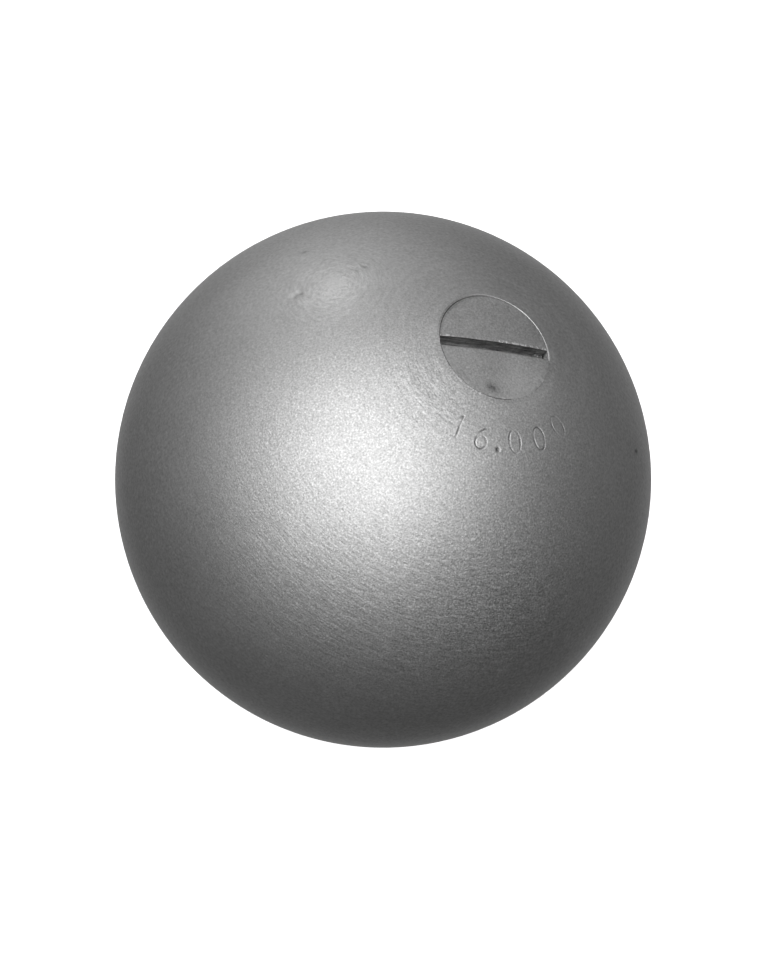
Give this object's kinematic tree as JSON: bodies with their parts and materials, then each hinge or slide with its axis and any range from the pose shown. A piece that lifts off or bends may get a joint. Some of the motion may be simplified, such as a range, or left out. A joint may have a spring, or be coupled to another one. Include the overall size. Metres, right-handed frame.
{
  "type": "shot put",
  "caption": "Turned cast-iron throwing ball with a poured lead core, closed by a slotted, low-crowned screw plug flush with the sphere at its rim, over a washer, felt wad and trimming shot.",
  "frame": {"origin": "centre of the ball", "axes": "+Z along the axis of the plug, out of the ball; +X along the driver slot in the plug's face"},
  "size_m": [0.12, 0.12, 0.1192],
  "materials": {
    "turned_iron": "fine-turned, silver",
    "turned_steel": "fine-turned, silver",
    "dull_lead": "dull, oxidised",
    "red_fibre": "pressed fibre",
    "grey_felt": "wool felt"
  },
  "bodies": {
    "ball": {"shell": "turned_iron", "lead_core": "dull_lead", "felt_wad": "grey_felt", "trim_pellet_01": "dull_lead", "trim_pellet_02": "dull_lead", "trim_pellet_03": "dull_lead", "trim_pellet_04": "dull_lead", "trim_pellet_05": "dull_lead", "trim_pellet_06": "dull_lead", "trim_pellet_07": "dull_lead", "trim_pellet_08": "dull_lead", "trim_pellet_09": "dull_lead", "trim_pellet_10": "dull_lead", "trim_pellet_11": "dull_lead", "trim_pellet_12": "dull_lead", "trim_pellet_13": "dull_lead", "trim_pellet_14": "dull_lead"},
    "washer": {"seal_washer": "red_fibre"},
    "plug": {"plug": "turned_steel"}
  },
  "joints": [
    {"name": "plug_travel", "type": "slide", "parent": "ball", "child": "washer", "axis": [0, 0, 1], "range_m": [0, 0.012]},
    {"name": "plug_turn", "type": "hinge", "parent": "washer", "child": "plug", "pos_m": [0, 0, 0.044], "axis": [0, 0, 1], "range_deg": [0, 2880]}
  ],
  "couplings": [
    {"joint": "plug_travel", "follows": "plug_turn", "m_per_rad": 0.00023873}
  ]
}
